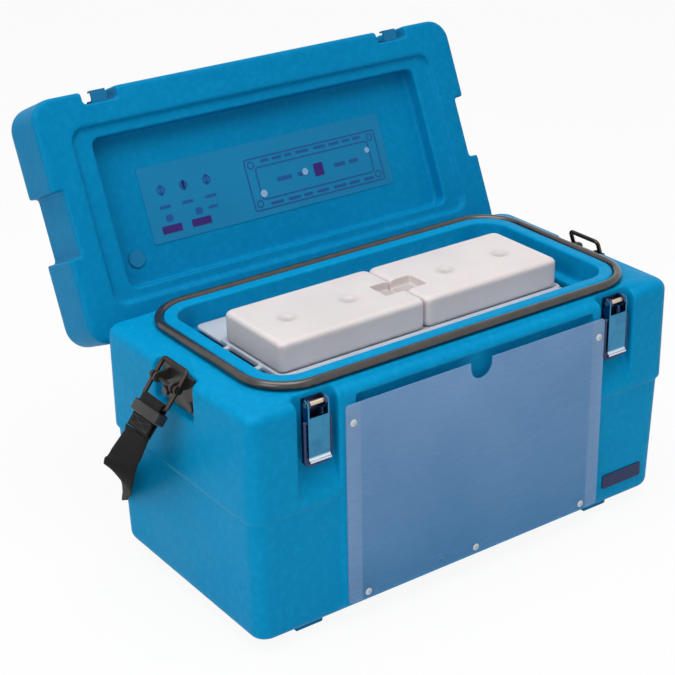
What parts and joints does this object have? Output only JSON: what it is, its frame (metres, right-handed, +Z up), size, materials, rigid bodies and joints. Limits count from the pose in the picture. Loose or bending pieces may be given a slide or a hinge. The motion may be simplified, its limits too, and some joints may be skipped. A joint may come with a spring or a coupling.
{
  "type": "specimen transport box",
  "caption": "Insulated blue box with a gasketed hinged lid, draw latches, document window, ice packs on a tray and a carrying strap, shown open.",
  "frame": {"origin": "centre of the tub's footprint on the floor, midway between the two skids", "axes": "+X along the length to the right end, +Y from the front with its latches to the hinged back, +Z up"},
  "size_m": [0.6666, 0.4715, 0.4789],
  "materials": {
    "shell_blue": "moulded, faint orange-peel texture",
    "foam": "rigid foam",
    "gasket_black": "satin",
    "clear_sheet": "clear, slightly hazed",
    "latch_steel": "satin",
    "pin_brass": "dull",
    "plate_navy": "bare dark film",
    "film_teal": "printed film",
    "webbing_black": "woven",
    "slider_black": "moulded",
    "bracket_black": "satin black",
    "ring_bronze": "dark bronze, worn",
    "tray_white": "moulded",
    "pack_white": "blow-moulded, slightly waxy",
    "coolant": "frozen filling"
  },
  "bodies": {
    "base": {"tub_shell": "shell_blue", "tub_foam": "foam", "tub_fill_plug": "shell_blue", "lid_gasket": "gasket_black", "document_window": "clear_sheet", "window_screws": "latch_steel", "name_plate": "plate_navy", "hinge_bracket_left": "latch_steel", "hinge_bracket_right": "latch_steel", "hinge_pin_left": "latch_steel", "hinge_pin_right": "latch_steel", "hinge_screws": "latch_steel", "latch_base_left": "latch_steel", "latch_base_right": "latch_steel", "latch_rivets": "latch_steel", "latch_pin_left": "pin_brass", "latch_pin_right": "pin_brass", "strap_bracket_left": "bracket_black", "strap_bracket_right": "bracket_black", "strap_bolts": "bracket_black", "strap_pin_left": "ring_bronze", "strap_pin_right": "ring_bronze", "shoulder_strap": "webbing_black"},
    "lid": {"lid_shell": "shell_blue", "lid_foam": "foam", "lid_fill_plug": "shell_blue", "lid_label": "film_teal", "latch_keeper_left": "latch_steel", "latch_keeper_right": "latch_steel", "keeper_rivets": "latch_steel"},
    "lever_left": {"latch_lever_left": "latch_steel"},
    "lever_right": {"latch_lever_right": "latch_steel"},
    "loop_left": {"latch_loop_left": "latch_steel"},
    "loop_right": {"latch_loop_right": "latch_steel"},
    "ring_left": {"strap_ring_left": "ring_bronze", "strap_end_left": "webbing_black", "strap_slider_left": "slider_black"},
    "ring_right": {"strap_ring_right": "ring_bronze", "strap_end_right": "webbing_black", "strap_slider_right": "slider_black"},
    "tray": {"pack_tray": "tray_white"},
    "pack_left": {"ice_pack_left": "pack_white", "pack_coolant_left": "coolant", "pack_plug_left": "pack_white"},
    "pack_right": {"ice_pack_right": "pack_white", "pack_coolant_right": "coolant", "pack_plug_right": "pack_white"}
  },
  "joints": [
    {"name": "lid_hinge", "type": "hinge", "parent": "base", "child": "lid", "pos_m": [0, 0.1285, 0.25295], "axis": [-1, 0, 0], "range_deg": [-114, 0]},
    {"name": "lever_left_turn", "type": "hinge", "parent": "base", "child": "lever_left", "pos_m": [-0.196, -0.135, 0.264], "axis": [-1, 0, 0], "range_deg": [0, 165]},
    {"name": "loop_left_turn", "type": "hinge", "parent": "lever_left", "child": "loop_left", "pos_m": [-0.196, -0.137, 0.246], "axis": [-1, 0, 0], "range_deg": [0, 190]},
    {"name": "ring_left_turn", "type": "hinge", "parent": "base", "child": "ring_left", "pos_m": [-0.282, 0, 0.258], "axis": [0, 1, 0], "range_deg": [-38, 0]},
    {"name": "lever_right_turn", "type": "hinge", "parent": "base", "child": "lever_right", "pos_m": [0.196, -0.135, 0.264], "axis": [-1, 0, 0], "range_deg": [0, 165]},
    {"name": "loop_right_turn", "type": "hinge", "parent": "lever_right", "child": "loop_right", "pos_m": [0.196, -0.137, 0.246], "axis": [-1, 0, 0], "range_deg": [0, 190]},
    {"name": "ring_right_turn", "type": "hinge", "parent": "base", "child": "ring_right", "pos_m": [0.282, 0, 0.258], "axis": [0, -1, 0], "range_deg": [-20, 18]},
    {"name": "tray_lift", "type": "slide", "parent": "base", "child": "tray", "axis": [0, 0, 1], "range_m": [0, 0.2]},
    {"name": "pack_left_lift", "type": "slide", "parent": "tray", "child": "pack_left", "axis": [0, 0, 1], "range_m": [0, 0.15]},
    {"name": "pack_right_lift", "type": "slide", "parent": "tray", "child": "pack_right", "axis": [0, 0, 1], "range_m": [0, 0.15]}
  ]
}
